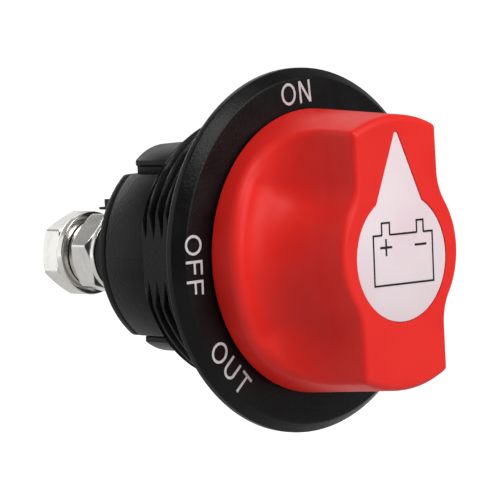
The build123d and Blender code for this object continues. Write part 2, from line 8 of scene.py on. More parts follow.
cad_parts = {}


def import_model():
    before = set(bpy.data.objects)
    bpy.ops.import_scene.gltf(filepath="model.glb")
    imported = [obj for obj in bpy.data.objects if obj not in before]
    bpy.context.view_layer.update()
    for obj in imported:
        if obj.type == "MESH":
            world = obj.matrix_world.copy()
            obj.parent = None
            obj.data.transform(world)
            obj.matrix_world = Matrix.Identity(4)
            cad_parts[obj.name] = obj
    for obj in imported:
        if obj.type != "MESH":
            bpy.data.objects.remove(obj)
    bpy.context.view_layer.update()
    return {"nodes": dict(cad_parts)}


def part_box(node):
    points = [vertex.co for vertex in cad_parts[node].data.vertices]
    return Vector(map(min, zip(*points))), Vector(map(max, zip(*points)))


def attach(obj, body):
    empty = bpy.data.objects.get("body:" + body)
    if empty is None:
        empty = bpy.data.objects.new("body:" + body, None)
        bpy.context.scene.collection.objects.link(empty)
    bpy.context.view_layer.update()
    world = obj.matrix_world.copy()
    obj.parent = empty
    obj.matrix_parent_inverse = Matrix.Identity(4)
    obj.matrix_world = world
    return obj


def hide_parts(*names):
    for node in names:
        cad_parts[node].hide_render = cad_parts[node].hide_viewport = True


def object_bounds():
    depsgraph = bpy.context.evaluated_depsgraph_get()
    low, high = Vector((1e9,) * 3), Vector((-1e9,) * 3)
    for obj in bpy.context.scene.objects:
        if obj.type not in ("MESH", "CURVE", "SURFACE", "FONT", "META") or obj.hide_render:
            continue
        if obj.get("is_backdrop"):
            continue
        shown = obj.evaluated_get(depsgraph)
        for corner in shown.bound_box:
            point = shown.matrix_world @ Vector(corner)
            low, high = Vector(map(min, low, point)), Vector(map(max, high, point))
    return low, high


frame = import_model()

# Battery isolating switch. Meshes are built in millimetres and scaled to metres at the end.
# The switch axis is Y: knob at -Y, terminals at +Y. +Z points to the ON mark.
# A name that ends in _R is a radius, in _Y a depth, in _Z a height and in _EDGE a rounding radius.
MM = 0.001


def box_mm(node):
    """Lowest and highest corner of a CAD node, in millimetres."""
    low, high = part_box(node)
    return low / MM, high / MM


# ---- sizes read from the frame ----
HOUSING_LOW, HOUSING_HIGH = box_mm("front_housing")
COVER_HIGH = box_mm("rear_cover")[1]
KNOB_LOW, KNOB_HIGH = box_mm("knob")
LABEL_LOW, LABEL_HIGH = box_mm("knob_label")
STUD_LOW, STUD_HIGH = box_mm("stud_left")
BEZEL_R = HOUSING_HIGH.x
BEZEL_FACE_Y = HOUSING_LOW.y
SEAM_Y = HOUSING_HIGH.y
BODY_HALF_W = COVER_HIGH.x
BODY_HALF_H = COVER_HIGH.z
STUD_X = -(STUD_LOW.x + STUD_HIGH.x) / 2
STUD_END_Y = STUD_HIGH.y
KNOB_R = KNOB_HIGH.x
KNOB_FACE_Y = KNOB_LOW.y
KNOB_BASE_Y = KNOB_HIGH.y
LABEL_R = LABEL_HIGH.x
LABEL_Z = LABEL_LOW.z + LABEL_R

# ---- shared settings ----
PANEL_Y = 0.0  # back face of the bezel, which is the frame's origin
CUT_PAST = 1.0  # how far a cutting solid passes the surface it cuts
OVERLAP = 0.1  # how far neighbouring parts of a moulding reach into each other
SINK = 0.3
SINK_DEEP = 0.5
MOULDING_SHARP = 28  # degrees above which an edge is shaded crisp
NUT_SHARP = 24
OTHER_SHARP = 32
ARC_STEPS = 12
GROOVE_SOFTNESS = 0.35

# ---- knob ----
KNOB_FACE_R = KNOB_R - 1.3
KNOB_FACE_EDGE = 1.2
KNOB_GRIP_EDGE = 0.6
KNOB_RIM_EDGE = 2.2
KNOB_BASE_EDGE = 0.35
RIM_EDGE_REACH = 7.0
SCOOP_BLEND = 12.0
SCOOP_TOP_Y = -8.0
SCOOP_INNER_R = 14.0
SCOOP_RUN = 12.4
SCOOP_RUN_LIMIT = 1.2
SCOOP_RISE = 2.5
SCOOP_DROP = 1.9
SCOOP_DROP_Z = 19.8
SCOOP_DROP_LIMIT = 1.6
GRIP_BULGE = 15.35
GRIP_WAIST = 11.0
GRIP_BLEND = 10.0
GRIP_END = 10.95
GRIP_END_Z = 26.0
SHAFT_R = 10.2
SHAFT_TOP_Y = -13.85
CORE_HALF_W = 7.2
CORE_R = 19.5
CORE_HUB_R = 12.6
CORE_Y = -20.0

# ---- knob surface net ----
NET_CELL = 0.42
NET_MARGIN = 1.0
NET_ROUNDS = 8
NET_PULL = 0.8
NET_STEP = 0.02
NET_LEAST_SLOPE = 0.05

# ---- label ----
LABEL_SHOULDER = 6.0
LABEL_TIP_R = 0.5
LABEL_TIP_STEPS = 8
LABEL_EDGE = 0.14
SLOT_GAP = 0.1
SLOT_FLOOR_GAP = 0.02
SHOULDER_GROWTH = 0.9  # share of the gap by which the slot's shoulders are wider than the label's

# ---- bezel ----
BEZEL_FACE_R = 32.2
BEZEL_SIDE_Y = -1.4
BEZEL_FACE_EDGE = 0.7
BEZEL_SIDE_EDGE = 0.45
BEZEL_EDGE = 0.3
BORE_R = 10.4
WALL_Y = 2.0
WALL_R = 21.5
WALL_EDGE = 0.2
SEAL_GROOVE_R = (19.0, 21.0)
SEAL_GROOVE_Y = -2.0
SEAL_GROOVE_EDGE = 0.15
LUG_GAP_R = 13.4
LUG_GAP_TURNS = (28.5, 106.5)

# ---- barrel ----
BARREL_R = 25.0
BARREL_ROOT_R = 23.7
BARREL_PITCH = 2.2
BARREL_THREAD = (0.23, 0.1)  # shares of the pitch that the land and the root take
BARREL_ROOT_PHASE = 0.614
BARREL_LAST_GROOVE_Y = 16.35
BARREL_RUN_OUT = (0.7, 1.5)  # where the groove starts, and the length over which it deepens
BARREL_START_Y = -0.2
BARREL_LEN = 17.6
BARREL_END_R = 23.9
BARREL_END_SLOPE = 1.1
BARREL_ROWS = 134
BARREL_SEGMENTS = 480
CAVITY_R = 15.0
CAVITY_Y = 5.0
LUG_ROOM_R = 13.8

# ---- rear body ----
BODY_END_R = 19.4
BODY_EDGE = 0.3
BLOCK_HALF_W = 14.4
BLOCK_TOP_HALF_W = 7.0
BLOCK_RECESS = 0.35
BLOCK_STEP = 1.1
BLOCK_STEP_RISE = 0.15
BLOCK_FOOT_Z = 12.0
BLOCK_EDGE = 0.35
UPPER_BLOCK = (17.8, 20.45)  # heights of the shoulder and the top
LOWER_BLOCK = (16.6, 19.1)
GUIDE_HALF_W = 21.2
GUIDE_HALF_H = 7.2
GUIDE_Y = 17.0
MOULD_LINE_INSET = 0.25
MOULD_LINE_REACH = 0.3
MOULD_LINE_HALF_H = 0.07
MOULD_LINE_END = 0.5
MOULD_LINE_EDGE = 0.04

# ---- rear cover ----
COVER_Y = SEAM_Y + 2.0
COVER_GAP = 0.02
COVER_EDGE = 0.55
PLUG_HALF_W = 20.9
PLUG_HALF_H = 7.0
PLUG_DEPTH = 1.6
HOOK_X = (-19.6, -18.8)
HOOK_Z = (8.9, 10.9)
HOOK_LEDGE_Z = 9.4
HOOK_RIB = 1.6
HOOK_LEDGE = 3.2
HOOK_EDGE = 0.12
BOSS_R = 7.0
BOSS_END_Y = 33.2
BOSS_FOOT = 0.8
BOSS_FILLET = 0.5
BOSS_EDGE = 0.45
BOSS_BORE_EDGE = 0.2
BOSS_BORE_GAP = 0.15

# ---- terminal hardware ----
# Rings: front face, thickness, outer radius. Nuts: front face, thickness, turn in degrees.
COLLAR = (BOSS_END_Y, 1.2, 7.2)
JAM_NUT = (34.4, 5.0, -16.0)
SPRING_WASHER = (39.4, 1.9, 6.5)
FLAT_WASHER = (41.3, 1.6, 8.0)
TERMINAL_NUT = (42.9, 5.0, 23.0)
WASHER_BORE_R = 4.3
WASHER_BORE_EDGE = 0.15
WASHER_EDGE = 0.28
SPRING_RISE = 0.35
SPRING_EDGE = 0.3
SPRING_START = 94
SPRING_SWEEP = 350
SPRING_STEPS = 150
NUT_AF = 14.0
NUT_CHAMFER = math.tan(math.radians(30))
NUT_CORNER_R = NUT_AF / math.sqrt(3) + 0.05
NUT_FACE_R = NUT_AF / 2 - 0.15
NUT_CORNER_WEAR = 0.35
NUT_CORNER_PULL = 0.45
NUT_CREASE = 0.12
NUT_BORE_R = 3.9
NUT_SINK_R = 4.55
NUT_SINK_DEPTH = 0.55
NUT_CHAMFER_ROWS = 14
NUT_SIDE_ROWS = 8
NUT_SEGMENTS = 360
STUD_R = 4.0
STUD_SHANK_R = 3.8
STUD_HEAD_R = 6.2
STUD_HEAD_Y = (24.4, 26.4)
STUD_THREAD_Y = 44.0
STUD_PITCH = 1.25
STUD_THREAD = (0.14, 0.16)
STUD_THREAD_DEPTH = 0.62
STUD_TIP_R = STUD_R - 0.72
STUD_END_R = STUD_R - 0.75
STUD_ROW = 0.1
STUD_SEGMENTS = 96


# ---- mesh helpers ----
def to_mesh(name, verts, faces):
    """Mesh data in metres from millimetre points."""
    mesh = bpy.data.meshes.new(name)
    mesh.from_pydata([tuple(float(c) * MM for c in v) for v in verts], [], faces)
    mesh.validate()
    return mesh


def to_object(name, data):
    thing = bpy.data.objects.new(name, data)
    bpy.context.scene.collection.objects.link(thing)
    return thing


def tidy(piece, sharp_deg=OTHER_SHARP):
    """Merges doubles, points the faces outwards and keeps edges over sharp_deg crisp."""
    work = bmesh.new()
    work.from_mesh(piece.data)
    bmesh.ops.remove_doubles(work, verts=work.verts, dist=1e-7)
    bmesh.ops.dissolve_degenerate(work, dist=1e-8, edges=work.edges)
    bmesh.ops.recalc_face_normals(work, faces=work.faces)
    limit = math.radians(sharp_deg)
    for edge in work.edges:
        edge.smooth = not (edge.is_manifold and edge.calc_face_angle(0) > limit)
    for face in work.faces:
        face.smooth = True
    work.to_mesh(piece.data)
    work.free()
    return piece


def apply_modifiers(piece):
    """Replaces the mesh by what its modifiers give."""
    graph = bpy.context.evaluated_depsgraph_get()
    mesh = bpy.data.meshes.new_from_object(piece.evaluated_get(graph))
    piece.modifiers.clear()
    piece.data = mesh
    return piece


def subtract(piece, cutters):
    """Cuts helper solids out of a piece and removes them."""
    for cutter in cutters:
        step = piece.modifiers.new("subtract", "BOOLEAN")
        step.operation = "DIFFERENCE"
        step.solver = "EXACT"
        step.object = cutter
        apply_modifiers(piece)
        bpy.data.objects.remove(cutter)
    return piece


def bevelled(piece, width, segments=3, angle_deg=30):
    """Rounds every edge sharper than the given angle."""
    step = piece.modifiers.new("edges", "BEVEL")
    step.width = width * MM
    step.segments = segments
    step.limit_method = "ANGLE"
    step.angle_limit = math.radians(angle_deg)
    step.use_clamp_overlap = True
    return apply_modifiers(piece)


def join(pieces):
    """Joins helper objects into the first one."""
    work = bmesh.new()
    for piece in pieces:
        work.from_mesh(piece.data)
    work.to_mesh(pieces[0].data)
    work.free()
    for piece in pieces[1:]:
        bpy.data.objects.remove(piece)
    return pieces[0]


def ring_solid(name, rings, closed=False):
    """Solid through rings that have the same number of (x, y, z) points.
    closed joins the last ring to the first, as on a washer; otherwise both ends are capped."""
    count = len(rings[0])
    verts = [point for ring in rings for point in ring]
    pairs = [(i, i + 1) for i in range(len(rings) - 1)]
    if closed:
        pairs.append((len(rings) - 1, 0))
    faces = []
    for a, b in pairs:
        for j in range(count):
            k = (j + 1) % count
            faces.append((a * count + j, a * count + k, b * count + k, b * count + j))
    if not closed:
        faces.append(tuple(range(count)))
        faces.append(tuple(range((len(rings) - 1) * count, len(rings) * count)))
    return to_object(name, to_mesh(name, verts, faces))


def turned(name, profile, segments=128, closed=False):
    """Solid of revolution about the switch axis from (radius, y) points."""
    turns = [2 * math.pi * j / segments for j in range(segments)]
    rings = [[(r * math.cos(t), y, r * math.sin(t)) for t in turns] for r, y in profile]
    return ring_solid(name, rings, closed)


def prism(name, outline, y_front, y_rear):
    """Solid of a closed (x, z) outline between two depths."""
    return tidy(ring_solid(name, [[(x, y, z) for x, z in outline] for y in (y_front, y_rear)]))


def block(name, x, y, z):
    """Box between the two values given for each coordinate."""
    outline = [(x[0], z[0]), (x[1], z[0]), (x[1], z[1]), (x[0], z[1])]
    return prism(name, outline, *y)


def fan(first, last, steps):
    """Evenly spaced values from first to last, both included."""
    return [first + (last - first) * i / steps for i in range(steps + 1)]


def softened(corners, steps=4):
    """Closed outline with each (a, b, radius) corner replaced by a short arc."""
    points = []
    for i, (a, b, radius) in enumerate(corners):
        if radius <= 0:
            points.append((a, b))
            continue
        here = Vector((a, b))
        before = Vector(corners[i - 1][:2]) - here
        after = Vector(corners[(i + 1) % len(corners)][:2]) - here
        half = before.angle(after) / 2
        reach = min(radius / math.tan(half), 0.49 * before.length, 0.49 * after.length)
        start = here + before.normalized() * reach
        end = here + after.normalized() * reach
        for t in fan(0, 1, steps):
            mid = start.lerp(here, t).lerp(here.lerp(end, t), t)
            points.append((mid.x, mid.y))
    return points


def groove(phase, land, root):
    """Depth share of a V groove over one pitch: 0 on the land, 1 on the root."""
    phase = phase % 1.0
    flank = (1 - land - root) / 2
    down = np.clip((phase - land) / flank, 0, 1)
    up = np.clip((1 - phase) / flank, 0, 1)
    share = np.minimum(down, up)
    smooth = share * share * (3 - 2 * share)
    return smooth * GROOVE_SOFTNESS + share * (1 - GROOVE_SOFTNESS)


def shaped_rings(depths, radius, segments):
    """Rings about the switch axis from a radius function of (turns, y)."""
    turns = np.linspace(0, 2 * np.pi, segments, endpoint=False)
    rings = []
    for y in depths:
        r = radius(turns, y)
        rings.append(list(zip(r * np.cos(turns), np.full(segments, y), r * np.sin(turns))))
    return rings


def plain_rings(profile, segments):
    """Round rings about the switch axis from (radius, y) points."""
    rings = []
    for r, y in profile:
        rings += shaped_rings([y], lambda turns, _: np.full(segments, r), segments)
    return rings


def shifted(piece, x):
    piece.data.transform(Matrix.Translation((x * MM, 0, 0)))
    return piece


def mirrored_pair(make):
    """The same piece at the left and the right terminal, as one object."""
    return join([shifted(make(), -STUD_X), shifted(make(), STUD_X)])


def finished(piece, name, body, material, node, slot, sharp_deg=OTHER_SHARP):
    """Names the piece, dresses it and lets it ride in place of its CAD node."""
    tidy(piece, sharp_deg)
    piece.name = name
    piece.data.materials.clear()
    piece.data.materials.append(material)
    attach(piece, body)
    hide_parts(node)
    return piece


# ---- materials ----
def map_range(tree, low, high, start, end):
    """Node that maps a value from low..high to start..end, clamped."""
    node = tree.nodes.new("ShaderNodeMapRange")
    for key, value in (("From Min", low), ("From Max", high), ("To Min", start), ("To Max", end)):
        node.inputs[key].default_value = value
    return node


class Shader:
    """Short names for building a node material on object coordinates."""

    def __init__(self, name, colour, roughness, metallic=0.0, shine=0.5):
        self.material = bpy.data.materials.new(name)
        self.material.use_nodes = True
        self.tree = self.material.node_tree
        self.bsdf = self.tree.nodes["Principled BSDF"]
        self.bsdf.inputs["Base Color"].default_value = (*colour, 1)
        self.bsdf.inputs["Roughness"].default_value = roughness
        self.bsdf.inputs["Metallic"].default_value = metallic
        self.bsdf.inputs["Specular IOR Level"].default_value = shine
        self.place = self.add("ShaderNodeTexCoord").outputs["Object"]

    def add(self, kind, **inputs):
        node = self.tree.nodes.new(kind)
        for key, value in inputs.items():
            node.inputs[key].default_value = value
        return node

    def link(self, source, target):
        self.tree.links.new(source, target)

    def noise(self, scale, detail=3.0, roughness=0.5, stretch=None):
        node = self.add("ShaderNodeTexNoise", Scale=scale, Detail=detail, Roughness=roughness)
        place = self.place
        if stretch:
            mapping = self.add("ShaderNodeMapping", Scale=stretch)
            self.link(place, mapping.inputs["Vector"])
            place = mapping.outputs["Vector"]
        self.link(place, node.inputs["Vector"])
        return node.outputs["Fac"]

    def ramp(self, source, span, values):
        node = map_range(self.tree, *span, *values)
        self.link(source, node.inputs["Value"])
        return node.outputs["Result"]

    def tint(self, source, span, first, second):
        """Base colour that goes from first to second over the given span of a noise."""
        node = self.tree.nodes.new("ShaderNodeMix")
        node.data_type = "RGBA"
        node.inputs[6].default_value = (*first, 1)
        node.inputs[7].default_value = (*second, 1)
        self.link(self.ramp(source, span, (0, 1)), node.inputs[0])
        self.link(node.outputs[2], self.bsdf.inputs["Base Color"])

    def rough(self, source, values):
        """Roughness between two values, over the middle range of a noise."""
        self.link(self.ramp(source, (0.3, 0.7), values), self.bsdf.inputs["Roughness"])

    def bump(self, height, depth_mm, strength, after=None):
        node = self.add("ShaderNodeBump", Strength=strength, Distance=depth_mm * MM)
        self.link(height, node.inputs["Height"])
        if after:
            self.link(after, node.inputs["Normal"])
        self.link(node.outputs["Normal"], self.bsdf.inputs["Normal"])
        return node.outputs["Normal"]


def darker(colour, share):
    return tuple(c * share for c in colour)


def black_plastic():
    """Moulded black plastic with a fine spark-eroded grain and faint mottling."""
    s = Shader("black_plastic", (0.005, 0.005, 0.005), 0.35, shine=0.17)
    mottle = s.noise(160, detail=4.0, roughness=0.6)
    s.tint(mottle, (0.35, 0.7), (0.0035, 0.0032, 0.0034), (0.0065, 0.0062, 0.0065))
    s.rough(mottle, (0.29, 0.38))
    s.bump(s.noise(1700, detail=2.0, roughness=0.6), depth_mm=0.07, strength=0.9)
    return s.material


def red_plastic():
    """Satin red moulding with a slight orange-peel surface."""
    s = Shader("red_plastic", (0.81, 0.0195, 0.013), 0.45, shine=0.25)
    wave = s.noise(90, detail=2.0)
    s.tint(wave, (0.35, 0.65), (0.79, 0.0175, 0.012), (0.835, 0.0215, 0.015))
    s.rough(s.noise(400, roughness=0.6), (0.38, 0.48))
    s.bump(s.noise(700, detail=2.0), depth_mm=0.02, strength=0.2)
    return s.material


def white_label():
    """White insert with a faintly pink cast and a fine matt surface."""
    s = Shader("white_label", (0.80, 0.66, 0.70), 0.45, shine=0.3)
    s.tint(s.noise(60, detail=2.0), (0.35, 0.65), (0.82, 0.71, 0.74), (0.79, 0.63, 0.675))
    s.rough(s.noise(500), (0.4, 0.5))
    s.bump(s.noise(1500, detail=2.0), depth_mm=0.01, strength=0.2)
    return s.material


def ink(name, colour):
    """Thin printed ink, a little uneven."""
    s = Shader(name, colour, 0.5, shine=0.25)
    s.tint(s.noise(900, roughness=0.6), (0.3, 0.75), colour, darker(colour, 0.75))
    s.rough(s.noise(700, detail=2.0), (0.42, 0.6))
    s.bump(s.noise(2500, detail=2.0), depth_mm=0.01, strength=0.3)
    return s.material


def plated(name, colour, roughness):
    """Plated metal with fine scratches in two directions."""
    s = Shader(name, colour, roughness, metallic=1.0)
    s.tint(s.noise(220, detail=4.0, roughness=0.65), (0.4, 0.75), colour, darker(colour, 0.78))
    s.rough(s.noise(350, detail=4.0, roughness=0.6), (roughness * 0.7, roughness * 1.6))
    first = s.bump(s.noise(260, roughness=0.7, stretch=(1, 1, 14)), depth_mm=0.02, strength=0.16)
    across = s.noise(260, roughness=0.7, stretch=(12, 1.5, 1))
    s.bump(across, depth_mm=0.02, strength=0.12, after=first)
    return s.material


def nylon(name, colour):
    """Plain moulded engineering plastic."""
    s = Shader(name, colour, 0.5)
    s.tint(s.noise(300, detail=4.0, roughness=0.6), (0.35, 0.7), colour, darker(colour, 0.8))
    s.rough(s.noise(500, roughness=0.6), (0.42, 0.58))
    s.bump(s.noise(1800, detail=2.0, roughness=0.6), depth_mm=0.02, strength=0.4)
    return s.material


BLACK = black_plastic()
RED = red_plastic()
WHITE = white_label()
DIAL_INK = ink("dial_ink", (0.62, 0.62, 0.625))
LABEL_INK = ink("label_ink", (0.012, 0.010, 0.012))
NICKEL = plated("plated_hardware", (0.80, 0.785, 0.75), 0.17)
TINNED = plated("tinned_studs", (0.66, 0.64, 0.59), 0.28)
ZINC = plated("zinc_screws", (0.58, 0.58, 0.60), 0.3)
SPRING = plated("spring_steel", (0.42, 0.42, 0.43), 0.3)
COPPER = plated("copper_bar", (0.85, 0.46, 0.31), 0.25)
SILVER = plated("silver_contacts", (0.88, 0.87, 0.84), 0.22)
NYLON = nylon("grey_nylon", (0.23, 0.23, 0.24))
RED_CORE = nylon("red_core", (0.50, 0.015, 0.012))
RUBBER = nylon("black_rubber", (0.006, 0.006, 0.006))

CAD_MATERIALS = {
    "front_housing": BLACK,
    "dial_print": DIAL_INK,
    "dust_seal": RUBBER,
    "rear_cover": BLACK,
    "cover_screws": ZINC,
    "stud_left": TINNED,
    "stud_right": TINNED,
    "stud_contacts": SILVER,
    "stud_collars": NICKEL,
    "jam_nuts": NICKEL,
    "spring_washers": NICKEL,
    "flat_washers": NICKEL,
    "terminal_nuts": NICKEL,
    "return_spring": SPRING,
    "rotor_cam": NYLON,
    "key_shaft": RED_CORE,
    "key_screw": ZINC,
    "knob": RED,
    "knob_label": WHITE,
    "label_symbol": LABEL_INK,
    "contact_carrier": NYLON,
    "contact_bridge": COPPER,
    "bridge_contacts": SILVER,
    "contact_spring": SPRING,
    "bridge_retainer": SPRING,
}


def dress_cad_nodes():
    for node, material in CAD_MATERIALS.items():
        mesh = frame["nodes"][node].data
        mesh.materials.clear()
        mesh.materials.append(material)


dress_cad_nodes()


# ---- knob, from fields that are negative inside ----
def grip_distance(x, z):
    """Distance to the outline of the grip bar: bulged middle, waists, straight ends."""
    x, z = np.abs(x), np.abs(z)
    cx = GRIP_WAIST + GRIP_BLEND
    cz = math.sqrt((GRIP_BULGE + GRIP_BLEND) ** 2 - cx**2)
    bulge = np.hypot(x, z) - GRIP_BULGE
    waist = GRIP_BLEND - np.hypot(np.minimum(x - cx, 0), z - cz) + np.maximum(x - cx, 0)
    line = x - GRIP_WAIST - (GRIP_END - GRIP_WAIST) * (z - cz) / (GRIP_END_Z - cz)
    outer = np.where(z < cz, waist, line)
    return np.where(z * cx < x * cz, bulge, outer)


def scoop_floor(r, z):
    """Depth of the hollows beside the grip: it rises to the rim, and falls away to the ends."""
    rise = np.clip((r - SCOOP_INNER_R) / SCOOP_RUN, 0, SCOOP_RUN_LIMIT) ** 2
    drop = np.minimum((z / SCOOP_DROP_Z) ** 2, SCOOP_DROP_LIMIT)
    return SCOOP_TOP_Y - SCOOP_RISE * rise + SCOOP_DROP * drop


def union_round(a, b, radius):
    corner = np.hypot(np.maximum(radius - a, 0), np.maximum(radius - b, 0))
    return np.maximum(radius, np.minimum(a, b)) - corner


def meet_round(a, b, radius):
    corner = np.hypot(np.maximum(radius + a, 0), np.maximum(radius + b, 0))
    return np.minimum(-radius, np.maximum(a, b)) + corner


def knob_field(p):
    """The knob's outer shape: grip and hollows, cut by the wall, the face and the base."""
    x, y, z = p[..., 0], p[..., 1], p[..., 2]
    r = np.hypot(x, z)
    slope = (KNOB_R - KNOB_FACE_R) / (KNOB_BASE_Y - KNOB_FACE_Y)
    wall = r - KNOB_R + slope * (KNOB_BASE_Y - y)
    grip = grip_distance(x, z)
    mass = union_round(grip, scoop_floor(r, z) - y, SCOOP_BLEND)
    away = np.clip(grip / RIM_EDGE_REACH, 0, 1)
    mass = meet_round(mass, wall, KNOB_GRIP_EDGE + (KNOB_RIM_EDGE - KNOB_GRIP_EDGE) * away)
    mass = meet_round(mass, KNOB_FACE_Y - y, KNOB_FACE_EDGE)
    return meet_round(mass, y - KNOB_BASE_Y, KNOB_BASE_EDGE)


def pulled_onto(field, points):
    """Points moved along the field's slope until they lie on its zero surface."""
    steps = np.eye(3) * NET_STEP
    for _ in range(NET_ROUNDS):
        value = field(points)
        slope = np.stack([field(points + s) - field(points - s) for s in steps], -1) / (2 * NET_STEP)
        size = np.maximum((slope**2).sum(-1), NET_LEAST_SLOPE)
        points = points - NET_PULL * slope * (value / size)[:, None]
    return points


def surface_net(field, low, high, cell):
    """Quad mesh of the field's zero surface, with one point in every grid cell it crosses."""
    axes = [np.arange(a, b + cell, cell) for a, b in zip(low, high)]
    inside = field(np.stack(np.meshgrid(*axes, indexing="ij"), -1)) < 0
    ends = (slice(0, -1), slice(1, None))
    count = sum(inside[i, j, k].astype(int) for i in ends for j in ends for k in ends)
    active = (count > 0) & (count < 8)
    index = -np.ones(active.shape, int)
    index[active] = np.arange(active.sum())
    points = np.stack(np.nonzero(active), -1) * cell + np.array(low) + cell / 2
    faces = []
    for axis in range(3):
        u, v = (axis + 1) % 3, (axis + 2) % 3
        first = np.take(inside, range(inside.shape[axis] - 1), axis)
        second = np.take(inside, range(1, inside.shape[axis]), axis)
        where = np.stack(np.nonzero(first != second), -1)
        where = where[(where[:, u] > 0) & (where[:, v] > 0)]
        where = where[(where[:, u] < active.shape[u]) & (where[:, v] < active.shape[v])]
        quad = []
        for du, dv in ((0, 0), (1, 0), (1, 1), (0, 1)):
            cells = where.copy()
            cells[:, u] -= du
            cells[:, v] -= dv
            quad.append(index[tuple(cells.T)])
        faces.extend(np.stack(quad, -1).tolist())
    return pulled_onto(field, points), faces


def label_outline(grow=0.0):
    """Disc with a pointer towards the top, as (x, z) points."""
    radius = LABEL_R + grow
    shoulder = LABEL_SHOULDER + grow * SHOULDER_GROWTH
    reach = math.sqrt(radius**2 - shoulder**2)
    start = math.atan2(reach, shoulder)
    tip_r = LABEL_TIP_R + grow
    tip_z = LABEL_HIGH.z + grow - tip_r
    lean = math.atan2(shoulder - tip_r, tip_z - LABEL_Z - reach)
    disc = fan(start, -math.pi - start, 8 * ARC_STEPS)
    tip = fan(math.pi - lean, lean, LABEL_TIP_STEPS)
    points = [(radius * math.cos(turn), LABEL_Z + radius * math.sin(turn)) for turn in disc]
    return points + [(tip_r * math.cos(turn), tip_z + tip_r * math.sin(turn)) for turn in tip]


def core_pocket():
    """Hollow behind the grip that keeps the moulding's walls even."""
    limit = math.asin(CORE_HALF_W / CORE_R)
    outline = []
    for side in (1, -1):
        for turn in fan(limit, -limit, ARC_STEPS):
            outline.append((side * CORE_R * math.sin(turn), side * CORE_R * math.cos(turn)))
    pocket = prism("pocket", outline, CORE_Y, KNOB_BASE_Y + CUT_PAST)
    hub = turned("hub", [(CORE_HUB_R, CORE_Y - CUT_PAST), (CORE_HUB_R, PANEL_Y)], 96)
    return subtract(pocket, [tidy(hub)])


def make_knob():
    low = (-KNOB_R - NET_MARGIN, KNOB_FACE_Y - NET_MARGIN, -KNOB_R - NET_MARGIN)
    high = (KNOB_R + NET_MARGIN, KNOB_BASE_Y + NET_MARGIN, KNOB_R + NET_MARGIN)
    points, faces = surface_net(knob_field, low, high, NET_CELL)
    knob = tidy(to_object("knob_form", to_mesh("knob_form", points, faces)))
    slot_floor_y = LABEL_HIGH.y + SLOT_FLOOR_GAP
    slot = prism("slot", label_outline(SLOT_GAP), KNOB_FACE_Y - CUT_PAST, slot_floor_y)
    bore = turned("bore", [(SHAFT_R, SHAFT_TOP_Y), (SHAFT_R, PANEL_Y)])
    return subtract(knob, [slot, tidy(bore), core_pocket()])


def make_label():
    label = prism("label", label_outline(), LABEL_LOW.y, LABEL_HIGH.y)
    return bevelled(label, LABEL_EDGE, segments=2, angle_deg=60)


# ---- housing ----
def make_bezel():
    """Bezel ring with the front wall, its seal groove, the key's bore and the lug gaps."""
    inner_r, outer_r = SEAL_GROOVE_R
    corners = [
        (BORE_R, BEZEL_FACE_Y, BEZEL_EDGE),
        (inner_r, BEZEL_FACE_Y, SEAL_GROOVE_EDGE),
        (inner_r, SEAL_GROOVE_Y, BEZEL_EDGE),
        (outer_r, SEAL_GROOVE_Y, BEZEL_EDGE),
        (outer_r, BEZEL_FACE_Y, SEAL_GROOVE_EDGE),
        (BEZEL_FACE_R, BEZEL_FACE_Y, BEZEL_FACE_EDGE),
        (BEZEL_R, BEZEL_SIDE_Y, BEZEL_SIDE_EDGE),
        (BEZEL_R, PANEL_Y, BEZEL_EDGE),
        (WALL_R, PANEL_Y, 0),
        (WALL_R, WALL_Y, 0),
        (BORE_R, WALL_Y, WALL_EDGE),
    ]
    ring = tidy(turned("bezel", softened(corners), 256, closed=True))
    first, last = (math.radians(turn) for turn in LUG_GAP_TURNS)
    gaps = []
    for half in (0, math.pi):
        arc = fan(first + half, last + half, 2 * ARC_STEPS)
        outline = [(0.0, 0.0)]
        outline += [(LUG_GAP_R * math.cos(turn), LUG_GAP_R * math.sin(turn)) for turn in arc]
        gaps.append(prism("gap", outline, BEZEL_FACE_Y - CUT_PAST, WALL_Y + CUT_PAST))
    return subtract(ring, gaps)


def barrel_radius(turns, y):
    """Helical thread that runs out at the bezel, a tapered end and a flat on each side."""
    phase = (y - BARREL_LAST_GROOVE_Y) / BARREL_PITCH + (turns - math.pi) / (2 * math.pi)
    start, length = BARREL_RUN_OUT
    depth = groove(phase + BARREL_ROOT_PHASE, *BARREL_THREAD) * np.clip((y - start) / length, 0, 1)
    r = BARREL_R - (BARREL_R - BARREL_ROOT_R) * depth
    r = np.minimum(r, BARREL_END_R + (BARREL_LEN - y) * BARREL_END_SLOPE)
    side = np.maximum(np.abs(np.cos(turns)), 1e-3)
    return np.minimum(r, BODY_HALF_W / side)


def make_barrel():
    """Barrel, with room inside for the key's lugs and the cam."""
    rows = np.linspace(BARREL_START_Y, BARREL_LEN, BARREL_ROWS)
    inside = [
        (CAVITY_R, BARREL_LEN + OVERLAP),
        (CAVITY_R, CAVITY_Y),
        (LUG_ROOM_R, CAVITY_Y),
        (LUG_ROOM_R, WALL_Y),
        (WALL_R - OVERLAP, WALL_Y),
        (WALL_R - OVERLAP, BARREL_START_Y),
    ]
    rings = shaped_rings(rows, barrel_radius, BARREL_SEGMENTS) + plain_rings(inside, BARREL_SEGMENTS)
    return ring_solid("barrel", rings, closed=True)


def body_outline():
    """Two side lobes round the terminals, cut flat above and below, as (x, z) points."""
    cx = BODY_HALF_W - BODY_END_R
    limit = math.asin(BODY_HALF_H / BODY_END_R)
    points = []
    for side in (1, -1):
        for turn in fan(limit, -limit, 4 * ARC_STEPS):
            x, z = cx + BODY_END_R * math.cos(turn), BODY_END_R * math.sin(turn)
            points.append((side * x, side * z))
    return points


